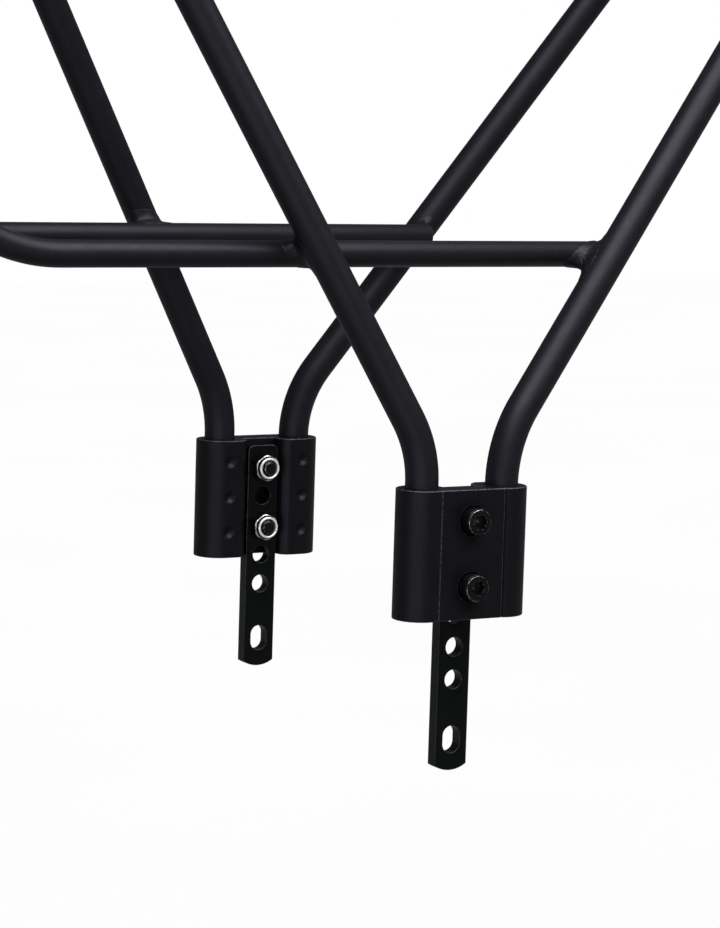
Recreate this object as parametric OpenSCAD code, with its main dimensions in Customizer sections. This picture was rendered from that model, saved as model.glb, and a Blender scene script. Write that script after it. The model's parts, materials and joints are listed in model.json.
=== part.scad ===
// Rear luggage rack for a bicycle: two V-shaped side frames that stand in clamp
// blocks with adjustable dropout plates, and a ladder deck on top.
// +X points to the front of the bicycle, +Y to its left and +Z up.
// The origin lies midway between the two dropout slots.

/* [Tubes] */
// Outer diameter of the legs, deck rails and tail hoop
leg_d = 12; // [10:0.5:13]
// Wall of those tubes
leg_wall = 1.5; // [1:0.25:2]
// Diameter of the two lower rails, which are solid rod
rail_d = 9.5; // [8:0.5:10]
// Diameter of the solid deck rungs
rung_d = 8; // [6:0.5:9]
// Radius of the leg bends just above the clamp blocks, on the centreline
leg_bend_r = 46; // [30:1:48]
// Radius of the upward bend of the lower rails, on the centreline
rail_bend_r = 60; // [45:1:70]

/* [Side frames] */
// Distance between the leg bores of the left and the right block
side_spacing = 156.5; // [150:0.5:165]
// Distance between the two leg bores of one block
bore_spacing = 33.6; // [33:0.1:36]
// How far the rear legs lean back for each millimetre of height
rear_lean = 0.554; // [0.5:0.002:0.6]
// How far the front legs lean forward for each millimetre of height
front_lean = 0.753; // [0.7:0.001:0.78]
// How far all four legs lean inward for each millimetre of height
inward_lean = 0.125; // [0.11:0.001:0.14]
// Height of the lower rails above the block tops
rail_rise = 82; // [70:1:95]
// Where the lower rails begin to bend upward
rail_bend_x = -150; // [-155:1:-140]
// Forward angle of the rails' rear ends from upright
rail_tail_angle = 16; // [14:0.5:18]

/* [Clamp blocks] */
// Height of a block
block_h = 47; // [46:0.5:60]
// Outer radius of the two lobes round the leg tubes
lobe_r = 9.25; // [9:0.05:9.5]
// Distance from the bores to the flat outer face
web_outer = 8.6; // [8.4:0.05:8.8]
// Depth of the flat seat of each screw head
seat_depth = 1.4; // [1:0.1:2]
// Vertical distance between the stake marks that hold a leg
stake_pitch = 14.1; // [12:0.1:15]

/* [Dropout plates] */
// Width of a plate
plate_w = 13.4; // [12:0.2:13.6]
// Thickness of a plate
plate_t = 5; // [4:0.25:5]
// Diameter of its round holes
hole_d = 7; // [6.4:0.1:7.2]
// Distance between neighbouring holes
hole_pitch = 11.9; // [11.8:0.1:12]
// Number of round holes in the left plate; the right one has one more
left_holes = 5; // [5:1:6]
// End-to-end length of the dropout slot
slot_len = 10; // [8:0.5:11]

/* [Deck] */
// Height of the deck tubes above the origin, on their centreline
deck_z = 340; // [330:1:350]
// Front end of the deck rails
deck_front = 213; // [212:1:220]
// Rearmost centreline of the tail hoop
deck_tail = -224; // [-230:1:-222]
// Radius of the two tail hoop bends, on the centreline
hoop_bend_r = 34; // [28:1:36]
// Distance between neighbouring rungs
rung_pitch = 60; // [50:1:60]

/* [Front stays] */
// Length of a stay bar
stay_len = 150; // [140:1:180]
// Width of a stay bar
stay_w = 13; // [12:0.5:14]
// Thickness of a stay bar
stay_t = 3; // [2.5:0.25:4]
// End-to-end length of the slot in a stay bar
stay_slot_len = 76; // [60:1:76]
// Downward slope of the stays as stored
stay_slope = 12; // [0:1:20]

/* [Hidden] */
$fn = 64;

RIGHT = -1;
LEFT = 1;
block_colour = [0.13, 0.13, 0.15];
plate_colour = [0.07, 0.08, 0.08];
zinc_colour = [0.82, 0.83, 0.85];
screw_colour = [0.05, 0.05, 0.06];
eps = 0.01;
clear = 1;                       // how far cutting tools run past what they cut
bend_thinning = 0.06;
bend_lap = 0.5;

// M6 hardware
screw_d = 6;
screw_hole_d = 6.4;
head_d = 10;
head_h = 6;
hex_key = 5;
hex_depth = 3;
screw_len = 20;
nut_across = 10;
nut_hex_h = 4.4;
nut_h = 6;
nut_collar_d = 8.9;
insert_d = 7.2;
insert_h = 1.3;
insert_sink = 0.2;               // from the collar's rim down to the insert

// Heights of the parts of a side frame
left_slot_z = hole_pitch / 2;
slot_drop = 22.1;                 // from the lowest round hole to the slot
plate_end_drop = 11.4;           // from the slot to the lower tip
plate_top_rise = 8.5;            // from the uppermost round hole to the top end
first_hole_z = left_slot_z + slot_drop + (left_holes - 1) * hole_pitch;
screw_drop = 0.4;                // the block's weight takes up the screws' play in the plates
screw_depth = 11.3;              // from a block's top down to its upper screw
block_top = first_hole_z - screw_drop + screw_depth;
screw_zs = [for (k = [0, 2]) first_hole_z - screw_drop - k * hole_pitch];
rail_z = block_top + rail_rise;

// Distances from the centre plane
bore_y = side_spacing / 2;
floor_v = -1.25;                 // channel floor, measured outward from the bores
plate_inner_y = bore_y + floor_v - plate_t;
head_seat_y = bore_y + web_outer - seat_depth;
channel_gap = 0.6;               // on either side of a plate
channel_half = plate_w / 2 + channel_gap;

// Legs: height of the bend corners, and where the legs meet the deck rails
rear_corner = 14.2;
front_corner = 15.7;
deck_y = leg_y(deck_z);
leg_foot_rise = 1;               // from a block's underside up to the leg's end
leg_foot_z = block_top - block_h + leg_foot_rise;
weld_gap = 0.05;                 // between a leg and the rail that is welded to it
rail_y = leg_y(rail_z) - (leg_d / 2 + rail_d / 2 + weld_gap) * sqrt(1 + inward_lean ^ 2);
rail_front_x = 65.5;

function unit(v) = v / norm(v);
// Distance of the leaning part of a leg from the centre plane at height z.
function leg_y(z) = bore_y - inward_lean * (z - block_top - (rear_corner + front_corner) / 2);

// Deck and stays
hoop_tangent_x = deck_tail + hoop_bend_r;
hoop_straight = 2;               // run of each hoop end past its bend
rail_rear_x = hoop_tangent_x + hoop_straight;
cross_x = 206;
cross_d = 10;
first_rung_x = -124;
lug_drop = 20;                   // from the cross tube down to the stay pivot
lug_y = 26;
lug_t = 4;
pivot = [cross_x, 0, deck_z - lug_drop];
stay_gap = 0.15;
stay_y = lug_y + lug_t + stay_gap;
stay_screw_len = 16;
stay_tail = 30;                  // from a stay's rear end to the pivot as stored
stay_slot_w = 6.6;
stay_slot_start = 10;
eye_d = 5.5;
washer_d = 12;
washer_t = 1.2;
bracket_z = 311;
bracket_w = 66;
bracket_h = 18;
bracket_t = 4;
bracket_hole_d = 5.5;
bracket_spacing = 50;

// ---- helpers ----

// Draws its children on the left, or mirrored on the right.
module on_side(side) {
    if (side == LEFT) children();
    else mirror([0, 1, 0]) children();
}

// Places its children with their X and Z along the given unit vectors.
module placed(origin, x, z) {
    y = cross(z, x);
    multmatrix([
        [x.x, y.x, z.x, origin.x],
        [x.y, y.y, z.y, origin.y],
        [x.z, y.z, z.z, origin.z],
        [0, 0, 0, 1]
    ]) children();
}

// A round bar from a to b.
module bar(a, b, d) {
    z = unit(b - a);
    x = unit(cross(z, abs(z.x) < 0.9 ? [1, 0, 0] : [0, 1, 0]));
    placed(a, x, z) cylinder(d = d, h = norm(b - a));
}

// A round bar from a to b that bends with radius r where its two legs meet at c.
// The straights run a little way over the bend, which bending has drawn slightly thinner.
module bent_bar(a, c, b, r, d) {
    u = unit(a - c);
    w = unit(b - c);
    turn = 180 - acos(u * w);
    reach = r * tan(turn / 2);
    centre = c + unit(u + w) * r / cos(turn / 2);
    x = unit(c + u * reach - centre);
    z = unit(cross(x, c + w * reach - centre));
    bar(a, c + u * (reach - bend_lap), d);
    placed(centre, x, z) rotate_extrude(angle = turn) translate([r, 0]) circle(d = d - bend_thinning);
    bar(c + w * (reach - bend_lap), b, d);
}

// The same as a tube with open ends.
module bent_tube(a, c, b, r, d, wall) {
    difference() {
        bent_bar(a, c, b, r, d);
        bent_bar(a + unit(a - c) * clear, c, b + unit(b - c) * clear, r, d - 2 * wall);
    }
}

// A straight deck rail as a solid, for coping the tubes that end on it.
module deck_rail_solid() {
    bar([rail_rear_x, deck_y, deck_z], [deck_front, deck_y, deck_z], leg_d);
}

// Copes a tube that ends at the axis of a deck rail, leaving nothing above the joint.
module coped_to_deck() {
    reach = 400;
    difference() {
        children();
        deck_rail_solid();
        translate([-reach, 0, deck_z - 1]) cube([2 * reach, reach, leg_d]);
    }
}

// A hole or peg along Y at x, z, from y0 to y1.
module along_y(x, z, y0, y1, d) {
    translate([x, y0, z]) rotate([-90, 0, 0]) cylinder(d = d, h = y1 - y0);
}

// ---- clamp blocks and dropout plates ----

// Extruded section: X along the bike, Y outward from the bores. The channel for the
// plate flares toward its mouth in two steps.
module block_section() {
    mouth = lobe_r + 0.1;
    flare = [1.4, 3.4];
    flare_v = [-5, -8.3];
    difference() {
        union() {
            for (x = [-1, 1] * bore_spacing / 2) translate([x, 0]) circle(r = lobe_r);
            translate([-bore_spacing / 2, -lobe_r]) square([bore_spacing, lobe_r + web_outer]);
        }
        for (side = [0, 1]) mirror([side, 0]) polygon([
            [-eps, floor_v], [channel_half, floor_v], [channel_half, flare_v[0]],
            [channel_half + flare[0], flare_v[1]], [channel_half + flare[1], -mouth], [-eps, -mouth]
        ]);
        for (x = [-1, 1] * bore_spacing / 2) translate([x, 0]) circle(d = leg_d);
    }
}

module block(side) {
    stake_r = 2.6;
    stake_tip_r = 0.5;
    stake_depth = 1.5;
    stake_x = bore_spacing / 2 - 0.5;
    first_stake = 8.4;
    head_gap = 0.6;
    color(block_colour) on_side(side) difference() {
        translate([0, bore_y, block_top - block_h]) linear_extrude(block_h) block_section();
        for (z = screw_zs) {
            along_y(0, z, bore_y + floor_v - clear, bore_y + lobe_r, screw_hole_d);
            along_y(0, z, head_seat_y, bore_y + lobe_r, head_d + 2 * head_gap);
        }
        for (x = [-1, 1] * stake_x, k = [0:2])
            translate([x, bore_y - lobe_r - eps, block_top - first_stake - k * stake_pitch])
                rotate([-90, 0, 0]) cylinder(r1 = stake_r, r2 = stake_tip_r, h = stake_depth);
    }
}

// Flat outline in X and Z of a plate whose slot is at height slot_z.
module plate_outline(slot_z, top_z) {
    half = plate_w / 2;
    corner = 2.5;
    sag = 2.1;
    end_r = (half ^ 2 + sag ^ 2) / (2 * sag);
    tip_z = slot_z - plate_end_drop;
    intersection() {
        translate([0, tip_z + end_r]) circle(r = end_r);
        translate([-half, tip_z]) square([plate_w, sag]);
    }
    translate([-half, tip_z + sag]) square([plate_w, top_z - corner - tip_z - sag]);
    translate([-half + corner, top_z - corner]) square([plate_w - 2 * corner, corner]);
    for (x = [-1, 1]) intersection() {
        translate([x * (half - corner), top_z - corner]) circle(r = corner);
        translate([x > 0 ? half - corner : -half, top_z - corner]) square(corner);
    }
}

// An upright slot in X and Z.
module slot_outline(z, width, length) {
    run = length - width;
    for (dz = [-run / 2, run / 2]) translate([0, z + dz]) circle(d = width);
    translate([-width / 2, z - run / 2]) square([width, run]);
}

module plate(side) {
    extra = side == RIGHT ? 1 : 0;
    slot_z = left_slot_z - extra * hole_pitch;
    top_z = first_hole_z + plate_top_rise;
    color(plate_colour) on_side(side)
        translate([0, plate_inner_y + plate_t, 0]) rotate([90, 0, 0]) linear_extrude(plate_t)
            difference() {
                plate_outline(slot_z, top_z);
                slot_outline(slot_z, hole_d, slot_len);
                for (k = [0:left_holes + extra - 1])
                    translate([0, first_hole_z - k * hole_pitch]) circle(d = hole_d);
            }
}

// ---- fasteners ----

// Socket head screw: head upward from z = 0, shank downward.
module socket_screw(length) {
    edge = 0.5;
    difference() {
        union() {
            cylinder(d = head_d, h = head_h - edge);
            translate([0, 0, head_h - edge]) cylinder(d1 = head_d, d2 = head_d - 2 * edge, h = edge);
        }
        translate([0, 0, head_h - hex_depth])
            cylinder(d = hex_key / cos(30), h = hex_depth + clear, $fn = 6);
    }
    translate([0, 0, -length + edge]) cylinder(d = screw_d, h = length - edge);
    translate([0, 0, -length]) cylinder(d1 = screw_d - 2 * edge, d2 = screw_d, h = edge);
}

// Lock nut with a round collar, standing on z = 0.
module lock_nut() {
    difference() {
        union() {
            cylinder(d = nut_across / cos(30), h = nut_hex_h, $fn = 6);
            cylinder(d = nut_collar_d, h = nut_h);
        }
        translate([0, 0, -clear]) cylinder(d = screw_d, h = nut_h + 2 * clear);
        translate([0, 0, nut_h - insert_h]) cylinder(d = insert_d, h = insert_h + clear);
    }
}

module nut_insert() {
    difference() {
        translate([0, 0, nut_h - insert_h]) cylinder(d = insert_d, h = insert_h - insert_sink);
        cylinder(d = screw_d, h = nut_h + clear);
    }
}

module clamp_screws(side) {
    color(screw_colour) on_side(side)
        for (z = screw_zs) translate([0, head_seat_y, z]) rotate([-90, 0, 0]) socket_screw(screw_len);
}

module clamp_nuts(side) {
    color(zinc_colour) on_side(side)
        for (z = screw_zs) translate([0, plate_inner_y, z]) rotate([90, 0, 0]) lock_nut();
}

module nut_inserts(side) {
    color("white") on_side(side)
        for (z = screw_zs) translate([0, plate_inner_y, z]) rotate([90, 0, 0]) nut_insert();
}

// ---- side frames ----

module leg(side, x_sign, lean, corner) {
    x = x_sign * bore_spacing / 2;
    corner_z = block_top + corner;
    top_x = x + x_sign * lean * (deck_z - corner_z);
    color(block_colour) on_side(side) coped_to_deck()
        bent_tube([x, bore_y, leg_foot_z], [x, bore_y, corner_z], [top_x, deck_y, deck_z],
                  leg_bend_r, leg_d, leg_wall);
}

module lower_rail(side) {
    turn = 90 + rail_tail_angle;
    corner_x = rail_bend_x - rail_bend_r * tan(turn / 2);
    top_x = corner_x + (deck_z - rail_z) * tan(rail_tail_angle);
    color(block_colour) on_side(side) coped_to_deck()
        bent_bar([rail_front_x, rail_y, rail_z], [corner_x, rail_y, rail_z],
                 [top_x, deck_y, deck_z], rail_bend_r, rail_d);
}

// ---- deck ----

module deck_rail(side) {
    color(block_colour) on_side(side) difference() {
        deck_rail_solid();
        bar([rail_rear_x - clear, deck_y, deck_z], [deck_front + clear, deck_y, deck_z],
            leg_d - 2 * leg_wall);
    }
}

// The U-shaped tail as a solid of diameter d, with its front ends run out by extra.
module hoop_bar(d, extra = 0) {
    straight = deck_y - hoop_bend_r;
    for (side = [RIGHT, LEFT]) on_side(side) {
        translate([hoop_tangent_x, straight, deck_z]) rotate([0, 0, 90])
            rotate_extrude(angle = 90) translate([hoop_bend_r, 0]) circle(d = d - bend_thinning);
        bar([hoop_tangent_x - bend_lap, deck_y, deck_z], [rail_rear_x + extra, deck_y, deck_z], d);
    }
    bar([deck_tail, -straight - bend_lap, deck_z], [deck_tail, straight + bend_lap, deck_z], d);
}

module tail_hoop() {
    color(block_colour) difference() {
        hoop_bar(leg_d);
        hoop_bar(leg_d - 2 * leg_wall, clear);
    }
}

// A solid rod across the deck, coped to the deck rails.
module cross_rod(x, d) {
    color(block_colour) difference() {
        bar([x, -deck_y, deck_z], [x, deck_y, deck_z], d);
        for (side = [RIGHT, LEFT]) on_side(side) deck_rail_solid();
    }
}

module rung(index) {
    cross_rod(first_rung_x + index * rung_pitch, rung_d);
}

module end_plug(side) {
    stem = 10;
    bore = leg_d - 2 * leg_wall;
    color("black") on_side(side) translate([deck_front, deck_y, deck_z]) rotate([0, 90, 0]) {
        translate([0, 0, -stem]) cylinder(d = bore - 0.1, h = stem);
        cylinder(d = leg_d, h = 1);
        translate([0, 0, 1]) cylinder(d1 = leg_d, d2 = leg_d - 3, h = 1);
    }
}

module light_bracket() {
    neck_w = 24;
    corner = 4;
    top = deck_z - leg_d / 2 + 2;
    bottom = bracket_z - bracket_h / 2;
    color(block_colour) difference() {
        translate([deck_tail - bracket_t / 2, 0, 0]) rotate([90, 0, 90]) linear_extrude(bracket_t)
            difference() {
                union() {
                    translate([-neck_w / 2, bracket_z]) square([neck_w, top - bracket_z]);
                    translate([-bracket_w / 2 + corner, bottom])
                        square([bracket_w - 2 * corner, bracket_h]);
                    translate([-bracket_w / 2, bottom + corner])
                        square([bracket_w, bracket_h - 2 * corner]);
                    for (y = [-1, 1] * (bracket_w / 2 - corner), z = [-1, 1] * (bracket_h / 2 - corner))
                        translate([y, bracket_z + z]) circle(r = corner);
                }
                for (y = [-1, 1] * bracket_spacing / 2)
                    translate([y, bracket_z]) circle(d = bracket_hole_d);
            }
        hoop_bar(leg_d);
    }
}

// ---- front stays ----

module stay_lug(side) {
    r = 8;
    color(block_colour) on_side(side) difference() {
        translate([pivot.x, lug_y + lug_t, pivot.z]) rotate([90, 0, 0]) linear_extrude(lug_t)
            union() {
                circle(r = r);
                translate([-r, 0]) square([2 * r, lug_drop]);
            }
        bar([cross_x, 0, deck_z], [cross_x, deck_y, deck_z], cross_d);
        along_y(pivot.x, pivot.z, lug_y - clear, lug_y + lug_t + clear, screw_hole_d);
    }
}

// A stay bar along X with its pivot at the origin, from y = 0 outward.
module stay_bar() {
    front = stay_len - stay_tail;
    r = stay_w / 2;
    slot_x = stay_slot_start - stay_tail;
    translate([0, stay_t, 0]) rotate([90, 0, 0]) linear_extrude(stay_t) difference() {
        union() {
            translate([-stay_tail + r, 0]) circle(r = r);
            translate([front - r, 0]) circle(r = r);
            translate([-stay_tail + r, -r]) square([stay_len - 2 * r, stay_w]);
        }
        translate([slot_x + stay_slot_w / 2, 0]) circle(d = stay_slot_w);
        translate([slot_x + stay_slot_len - stay_slot_w / 2, 0]) circle(d = stay_slot_w);
        translate([slot_x + stay_slot_w / 2, -stay_slot_w / 2])
            square([stay_slot_len - stay_slot_w, stay_slot_w]);
        translate([front - r, 0]) circle(d = eye_d);
    }
}

module stay(side) {
    color(plate_colour) on_side(side)
        translate([pivot.x, stay_y, pivot.z]) rotate([0, stay_slope, 0]) stay_bar();
}

module stay_washers(side) {
    outer = stay_y + stay_t + stay_gap;
    color(zinc_colour) on_side(side) difference() {
        along_y(pivot.x, pivot.z, outer, outer + washer_t, washer_d);
        along_y(pivot.x, pivot.z, outer - clear, outer + washer_t + clear, screw_hole_d);
    }
}

module stay_screw(side) {
    seat = stay_y + stay_t + stay_gap + washer_t;
    color(screw_colour) on_side(side)
        translate([pivot.x, seat, pivot.z]) rotate([-90, 0, 0]) socket_screw(stay_screw_len);
}

module stay_nut(side) {
    color(zinc_colour) on_side(side)
        translate([pivot.x, lug_y, pivot.z]) rotate([90, 0, 0]) lock_nut();
}

module stay_nut_insert(side) {
    color("white") on_side(side)
        translate([pivot.x, lug_y, pivot.z]) rotate([90, 0, 0]) nut_insert();
}

block(RIGHT);  // right_block
block(LEFT);  // left_block
plate(RIGHT);  // right_plate
plate(LEFT);  // left_plate
clamp_screws(RIGHT);  // right_clamp_screws
clamp_screws(LEFT);  // left_clamp_screws
clamp_nuts(RIGHT);  // right_clamp_nuts
clamp_nuts(LEFT);  // left_clamp_nuts
nut_inserts(RIGHT);  // right_nut_inserts
nut_inserts(LEFT);  // left_nut_inserts
leg(RIGHT, 1, front_lean, front_corner);  // right_front_leg
leg(LEFT, 1, front_lean, front_corner);  // left_front_leg
leg(RIGHT, -1, rear_lean, rear_corner);  // right_rear_leg
leg(LEFT, -1, rear_lean, rear_corner);  // left_rear_leg
lower_rail(RIGHT);  // right_lower_rail
lower_rail(LEFT);  // left_lower_rail
deck_rail(RIGHT);  // right_deck_rail
deck_rail(LEFT);  // left_deck_rail
tail_hoop();
cross_rod(cross_x, cross_d);  // front_cross_tube
rung(0);  // rung_1
rung(1);  // rung_2
rung(2);  // rung_3
rung(3);  // rung_4
rung(4);  // rung_5
end_plug(RIGHT);  // right_end_plug
end_plug(LEFT);  // left_end_plug
light_bracket();
stay_lug(RIGHT);  // right_stay_lug
stay_lug(LEFT);  // left_stay_lug
stay_screw(RIGHT);  // right_stay_screw
stay_screw(LEFT);  // left_stay_screw
stay_washers(RIGHT);  // right_stay_washers
stay_washers(LEFT);  // left_stay_washers
stay_nut(RIGHT);  // right_stay_nut
stay_nut(LEFT);  // left_stay_nut
stay_nut_insert(RIGHT);  // right_stay_nut_insert
stay_nut_insert(LEFT);  // left_stay_nut_insert
stay(RIGHT);  // right_stay
stay(LEFT);  // left_stay
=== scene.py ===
import json
import math
import bmesh
import bpy
import numpy as np
from mathutils import Matrix, Vector
from mathutils.geometry import delaunay_2d_cdt


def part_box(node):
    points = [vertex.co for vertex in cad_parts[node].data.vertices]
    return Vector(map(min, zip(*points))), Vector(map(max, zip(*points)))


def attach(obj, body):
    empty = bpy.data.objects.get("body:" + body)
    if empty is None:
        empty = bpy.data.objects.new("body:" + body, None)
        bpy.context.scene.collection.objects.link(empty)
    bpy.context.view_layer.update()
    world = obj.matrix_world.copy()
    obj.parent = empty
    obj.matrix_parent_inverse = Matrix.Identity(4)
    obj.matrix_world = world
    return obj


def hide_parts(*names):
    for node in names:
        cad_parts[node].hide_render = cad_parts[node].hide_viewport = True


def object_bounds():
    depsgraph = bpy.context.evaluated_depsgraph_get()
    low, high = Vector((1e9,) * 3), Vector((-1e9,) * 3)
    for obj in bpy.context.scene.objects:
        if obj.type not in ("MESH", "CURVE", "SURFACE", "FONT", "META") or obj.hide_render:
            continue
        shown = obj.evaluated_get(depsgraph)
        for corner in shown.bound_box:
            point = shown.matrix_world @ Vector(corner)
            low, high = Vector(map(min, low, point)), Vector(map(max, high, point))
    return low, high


# The looks of a bicycle rear rack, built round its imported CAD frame.
# Shapes are worked out in millimetres in the row frame: +X front, +Y left, +Z up.
# Objects are made in metres.

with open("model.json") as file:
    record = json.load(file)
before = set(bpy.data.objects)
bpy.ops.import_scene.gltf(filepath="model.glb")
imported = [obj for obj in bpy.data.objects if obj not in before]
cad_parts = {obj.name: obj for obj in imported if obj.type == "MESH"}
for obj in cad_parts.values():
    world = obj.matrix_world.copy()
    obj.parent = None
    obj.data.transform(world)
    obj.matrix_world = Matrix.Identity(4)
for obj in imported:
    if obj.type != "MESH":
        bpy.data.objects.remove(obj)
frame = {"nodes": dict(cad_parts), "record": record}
cad_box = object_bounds()
nodes = frame["nodes"]
scene = bpy.context.scene
MM = 0.001
RIGHT, LEFT = -1, 1
SIDES = {"right": RIGHT, "left": LEFT}

# ---- driving dimensions, as in the CAD ----

LEG_R = 6.0
RAIL_R = 4.75
RUNG_R = 4.0
REAR_LEAN = 0.554
FRONT_LEAN = 0.753
REAR_CORNER = 14.2
FRONT_CORNER = 15.7
WEB_OUTER = 8.6
SEAT_DEPTH = 1.4
SEAT_R = 5.6
HOLE_R = 3.5
HOLE_PITCH = 11.9
SLOT_DROP = 22.1
SCREW_R = 3.0
SCREW_HOLE_R = 3.2
HEAD_R = 5.0
HEAD_H = 6.0
KEY = 5.0
NUT_ACROSS = 9.7
NUT_CORNER_R = 5.2
NUT_HEX_H = 4.4
NUT_H = 6.0


def box_mm(node):
    """The lowest and highest corner of a CAD node in millimetres."""
    low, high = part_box(node)
    return np.array(low) / MM, np.array(high) / MM


def middle(node):
    """The middle of a CAD node's box in millimetres."""
    low, high = box_mm(node)
    return (low + high) / 2


block_low, block_high = box_mm("left_block")
BLOCK_TOP = block_high[2]
BLOCK_BOTTOM = block_low[2]
BORE_Y = (block_low[1] + block_high[1]) / 2
LOBE_R = (block_high[1] - block_low[1]) / 2
BORE_X = (block_high[0] - block_low[0]) / 2 - LOBE_R
DECK_Y = middle("left_deck_rail")[1]
DECK_Z = middle("left_deck_rail")[2]
DECK_REAR, DECK_FRONT = box_mm("left_deck_rail")[0][0], box_mm("left_deck_rail")[1][0]
plate_low, plate_high = box_mm("left_plate")
PLATE_W = plate_high[0] - plate_low[0]
PLATE_IN, PLATE_OUT = plate_low[1], plate_high[1]
LEFT_SLOT_Z = frame["record"]["mounts"][2]["pos_m"][2] / MM
screws_low, screws_high = box_mm("left_clamp_screws")
SCREW_ZS = [screws_high[2] - HEAD_R, screws_low[2] + HEAD_R]

# ---- finishes ----

SATIN, GLOSS = 0.45, 0.3
COAT_PEEL, PLATE_PEEL = 0.022, 0.012
TUBE_BLACK = (0.0066, 0.0063, 0.0088)
BLOCK_BLACK = (0.0022, 0.002, 0.0031)
PLATE_BLACK = (0.0011, 0.0015, 0.0015)
# Rim colours, lighter and bluer than the coats: paint rubbed thin on the rims, plus a painted edge highlight
RUB_AND_HIGHLIGHT_COAT = (0.055, 0.056, 0.068)
RUB_AND_HIGHLIGHT_PLATE = (0.028, 0.03, 0.03)
COAT_SHEEN = (0.84, 0.86, 1.0, 1.0)
PLATE_SHEEN = (0.95, 1.0, 1.0, 1.0)


def feed(tree, socket, value):
    """Links a socket to an input, or sets the input to a value."""
    if isinstance(value, bpy.types.NodeSocket):
        tree.links.new(value, socket)
    else:
        socket.default_value = value


def add(tree, kind, settings=None, **inputs):
    """A shader node. Inputs given as sockets are linked, others are set."""
    made = tree.nodes.new("ShaderNode" + kind)
    for key, value in (settings or {}).items():
        setattr(made, key, value)
    for key, value in inputs.items():
        feed(tree, made.inputs[key.replace("_", " ")], value)
    return made


def noise(tree, coords, size, detail=2.0, rough=0.5):
    """Noise whose features are about size millimetres across."""
    scale = 1 / (size * MM)
    made = add(tree, "TexNoise", Vector=coords, Scale=scale, Detail=detail, Roughness=rough)
    return made.outputs["Fac"]


def span(tree, value, low, high, to_low, to_high):
    """A value mapped from one range to another and held inside it."""
    made = add(tree, "MapRange", {"clamp": True}, Value=value)
    for key, number in zip(("From Min", "From Max", "To Min", "To Max"), (low, high, to_low, to_high)):
        made.inputs[key].default_value = number
    return made.outputs["Result"]


def maths(tree, operation, one, two):
    """The result of a Math node."""
    made = add(tree, "Math", {"operation": operation})
    for socket, value in zip(made.inputs, (one, two)):
        feed(tree, socket, value)
    return made.outputs[0]


def blended(tree, factor, one, two):
    """A colour between two colours."""
    made = add(tree, "Mix", {"data_type": "RGBA"}, Factor=factor)
    for name, value in (("A", one), ("B", two)):
        socket = [i for i in made.inputs if i.name == name and i.type == "RGBA"][0]
        feed(tree, socket, (*value, 1.0) if isinstance(value, tuple) else value)
    return [o for o in made.outputs if o.type == "RGBA"][0]


def edge_wear_and_highlight(tree, coords, size, low=0.25, high=0.75, least=0.35):
    """How strongly the rims are marked: the per-vertex rim mark broken up by noise. The mark stands for
    paint rubbing thin and for painted edge highlights and reflections.
    """
    worn_and_highlight = add(tree, "Attribute", {"attribute_name": "wear_and_highlight"}).outputs["Fac"]
    patchy = span(tree, noise(tree, coords, size, 4), 0.3, 0.6, least, 1.0)
    return span(tree, maths(tree, "MULTIPLY", worn_and_highlight, patchy), low, high, 0, 1)


def bumped(tree, layers):
    """A normal with several (height, distance in millimetres) layers."""
    normal = None
    for height, distance in layers:
        made = add(tree, "Bump", Strength=1.0, Distance=distance * MM, Height=height)
        if normal:
            feed(tree, made.inputs["Normal"], normal)
        normal = made.outputs["Normal"]
    return normal


def finish_of(name, recipe):
    """A material. recipe(tree, coords) gives the inputs of its surface shader."""
    made = bpy.data.materials.new(name)
    made.use_nodes = True
    tree = made.node_tree
    tree.nodes.clear()
    coords = add(tree, "TexCoord").outputs["Object"]
    surface = add(tree, "BsdfPrincipled", None, **recipe(tree, coords))
    add(tree, "OutputMaterial", Surface=surface.outputs[0])
    return made


def powder_coat(base, worn_and_highlight=RUB_AND_HIGHLIGHT_COAT, rough=SATIN, peel=COAT_PEEL, tint=COAT_SHEEN, ior=1.3):
    """Satin powder coat: orange peel, a fine grain, faint clouds, and thin lighter rims where paint rubs
    thin, with a painted edge highlight on them.
    """

    def recipe(tree, coords):
        clouds = span(tree, noise(tree, coords, 14, 3), 0.3, 0.7, 0, 1)
        grain = noise(tree, coords, 0.16, 1)
        specks = span(tree, noise(tree, coords, 0.5, 2), 0.68, 0.75, 0, 0.6)
        # Lighter, glossier rims: the coat rubbing thin plus a painted edge highlight, including the painted
        # strip beside the block's creases
        rubbed_and_highlight = edge_wear_and_highlight(tree, coords, 1.1)
        dark = tuple(c * 0.8 for c in base)
        colour = blended(tree, clouds, dark, base)
        colour = blended(tree, specks, colour, tuple(c * 2.2 for c in base))
        colour = blended(tree, rubbed_and_highlight, colour, worn_and_highlight)
        satin = span(tree, noise(tree, coords, 3.5, 3), 0.3, 0.7, rough - 0.03, rough + 0.04)
        satin = maths(tree, "SUBTRACT", satin, maths(tree, "MULTIPLY", rubbed_and_highlight, 0.08))
        normal = bumped(tree, [(noise(tree, coords, 0.9, 2), peel), (grain, peel * 0.12)])
        return {
            "Base_Color": colour, "Roughness": satin, "IOR": ior, "Specular_Tint": tint, "Normal": normal
        }

    return recipe


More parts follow.
